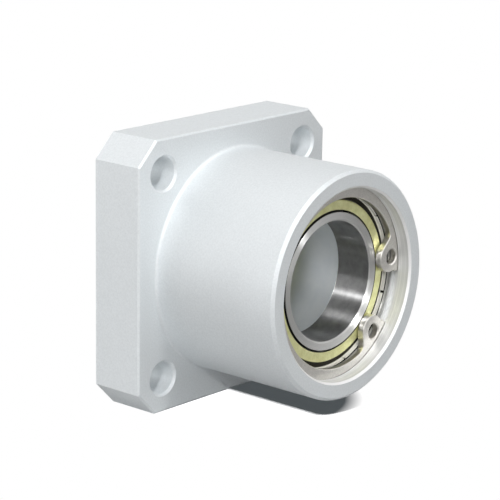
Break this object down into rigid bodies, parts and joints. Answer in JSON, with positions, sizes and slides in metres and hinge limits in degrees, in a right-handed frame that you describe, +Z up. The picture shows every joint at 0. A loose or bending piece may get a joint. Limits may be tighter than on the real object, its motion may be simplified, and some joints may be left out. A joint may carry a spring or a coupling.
{
  "type": "square bearing housing",
  "caption": "Square-flange bearing housing with a round boss and a shielded ball bearing, held by a retaining ring, in each end of its bore.",
  "frame": {"origin": "on the bore axis, in the plane of the flange's rear mounting face, at the centre of the bolt pattern", "axes": "+Z up, +X to the right, +Y out of the rear mounting face; the boss points along -Y, and the bore axis is Y"},
  "size_m": [0.046, 0.035, 0.046],
  "materials": {
    "anodised_aluminium": "fine bead-blasted, clear anodised",
    "bearing_steel": "ground and polished",
    "ball_steel": "polished",
    "shield_steel": "pressed sheet with a pale yellowish zinc finish",
    "cage_steel": "pressed sheet",
    "spring_steel": "tumbled, nickel grey"
  },
  "bodies": {
    "housing": {"housing": "anodised_aluminium", "front_retaining_ring": "spring_steel", "front_outer_ring": "bearing_steel", "front_shield_outside": "shield_steel", "front_shield_inside": "shield_steel", "rear_retaining_ring": "spring_steel", "rear_outer_ring": "bearing_steel", "rear_shield_outside": "shield_steel", "rear_shield_inside": "shield_steel"},
    "front_inner_ring": {"front_inner_ring": "bearing_steel"},
    "front_cage": {"front_cage_outside": "cage_steel", "front_cage_inside": "cage_steel", "front_cage_rivets": "cage_steel", "front_ball_01": "ball_steel", "front_ball_02": "ball_steel", "front_ball_03": "ball_steel", "front_ball_04": "ball_steel", "front_ball_05": "ball_steel", "front_ball_06": "ball_steel", "front_ball_07": "ball_steel", "front_ball_08": "ball_steel", "front_ball_09": "ball_steel", "front_ball_10": "ball_steel", "front_ball_11": "ball_steel", "front_ball_12": "ball_steel", "front_ball_13": "ball_steel"},
    "rear_inner_ring": {"rear_inner_ring": "bearing_steel"},
    "rear_cage": {"rear_cage_outside": "cage_steel", "rear_cage_inside": "cage_steel", "rear_cage_rivets": "cage_steel", "rear_ball_01": "ball_steel", "rear_ball_02": "ball_steel", "rear_ball_03": "ball_steel", "rear_ball_04": "ball_steel", "rear_ball_05": "ball_steel", "rear_ball_06": "ball_steel", "rear_ball_07": "ball_steel", "rear_ball_08": "ball_steel", "rear_ball_09": "ball_steel", "rear_ball_10": "ball_steel", "rear_ball_11": "ball_steel", "rear_ball_12": "ball_steel", "rear_ball_13": "ball_steel"}
  },
  "joints": [
    {"name": "front_inner_ring_spin", "type": "hinge", "parent": "housing", "child": "front_inner_ring", "pos_m": [0, -0.0277, 0], "axis": [0, 1, 0], "continuous": true},
    {"name": "front_cage_orbit", "type": "hinge", "parent": "housing", "child": "front_cage", "pos_m": [0, -0.0277, 0], "axis": [0, 1, 0], "continuous": true},
    {"name": "rear_inner_ring_spin", "type": "hinge", "parent": "housing", "child": "rear_inner_ring", "pos_m": [0, -0.0073, 0], "axis": [0, 1, 0], "continuous": true},
    {"name": "rear_cage_orbit", "type": "hinge", "parent": "housing", "child": "rear_cage", "pos_m": [0, -0.0073, 0], "axis": [0, 1, 0], "continuous": true}
  ],
  "couplings": [
    {"joint": "front_cage_orbit", "follows": "front_inner_ring_spin", "ratio": 0.43269},
    {"joint": "rear_cage_orbit", "follows": "rear_inner_ring_spin", "ratio": 0.43269}
  ]
}
